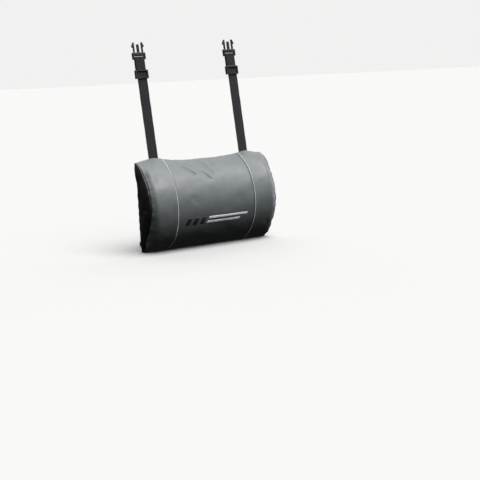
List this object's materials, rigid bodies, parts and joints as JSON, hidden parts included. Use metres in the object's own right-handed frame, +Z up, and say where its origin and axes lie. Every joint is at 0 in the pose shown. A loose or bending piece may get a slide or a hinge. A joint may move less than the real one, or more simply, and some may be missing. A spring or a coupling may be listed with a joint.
{
  "type": "lumbar support cushion",
  "caption": "D-shaped lumbar cushion for a high-back office chair: zipped leather cover over a foam core, with webbing straps and side-release buckles.",
  "frame": {"origin": "centre of the flat back face, where the cushion meets the backrest", "axes": "+X across the chair, to the right seen from the front; +Y towards the backrest; +Z up"},
  "size_m": [0.34, 0.1697, 0.5032],
  "materials": {
    "leather_grey": "grained synthetic leather, semi-matt",
    "leather_black": "grained synthetic leather, semi-matt",
    "thread_white": "twisted polyester thread",
    "embroidery_black": "satin stitch",
    "embroidery_silver": "satin stitch",
    "foam": "open-cell foam",
    "liner": "black non-woven",
    "zip_tape": "woven tape",
    "zip_coil": "nylon coil",
    "zip_metal": "black enamel",
    "webbing": "woven polypropylene",
    "buckle_plastic": "fine moulded texture"
  },
  "bodies": {
    "root": {"front_centre_panel": "leather_grey", "front_left_panel": "leather_grey", "front_right_panel": "leather_grey", "left_end_panel": "leather_black", "right_end_panel": "leather_black", "back_panel_upper": "leather_black", "back_panel_lower": "leather_black", "left_seam_thread": "thread_white", "right_seam_thread": "thread_white", "emblem_dark": "embroidery_black", "emblem_light": "embroidery_silver", "foam_core": "foam", "liner_sleeve": "liner", "liner_left_end": "liner", "liner_right_end": "liner", "zip_tape_upper": "zip_tape", "zip_tape_lower": "zip_tape", "zip_coil_upper": "zip_coil", "zip_coil_lower": "zip_coil", "zip_stops": "zip_metal", "left_upper_strap": "webbing", "right_upper_strap": "webbing", "left_lower_strap": "webbing", "right_lower_strap": "webbing", "left_female_buckle": "buckle_plastic", "right_female_buckle": "buckle_plastic"},
    "left_buckle": {"left_male_buckle": "buckle_plastic"},
    "right_buckle": {"right_male_buckle": "buckle_plastic"},
    "left_adjuster": {"left_adjuster": "buckle_plastic"},
    "right_adjuster": {"right_adjuster": "buckle_plastic"},
    "zip_slider": {"zip_slider": "zip_metal"},
    "zip_pull": {"zip_pull": "zip_metal"}
  },
  "joints": [
    {"name": "left_buckle_slide", "type": "slide", "parent": "root", "child": "left_buckle", "axis": [0, 0.1805, 0.9836], "range_m": [-0.08, 0.02], "deforming": ["left_upper_strap"]},
    {"name": "left_adjuster_slide", "type": "slide", "parent": "left_buckle", "child": "left_adjuster", "axis": [0, 0.1805, 0.9836], "range_m": [-0.08, 0.02]},
    {"name": "right_buckle_slide", "type": "slide", "parent": "root", "child": "right_buckle", "axis": [0, 0.1805, 0.9836], "range_m": [-0.08, 0.02], "deforming": ["right_upper_strap"]},
    {"name": "right_adjuster_slide", "type": "slide", "parent": "right_buckle", "child": "right_adjuster", "axis": [0, 0.1805, 0.9836], "range_m": [-0.08, 0.02]},
    {"name": "zip_slide", "type": "slide", "parent": "root", "child": "zip_slider", "axis": [1, 0, 0], "range_m": [0, 0.246]},
    {"name": "pull_hinge", "type": "hinge", "parent": "zip_slider", "child": "zip_pull", "pos_m": [-0.125, 0.0023, -0.062], "axis": [0, 0, 1], "range_deg": [0, 180]}
  ],
  "couplings": [
    {"joint": "left_adjuster_slide", "follows": "left_buckle_slide", "ratio": 1},
    {"joint": "right_adjuster_slide", "follows": "right_buckle_slide", "ratio": 1}
  ]
}
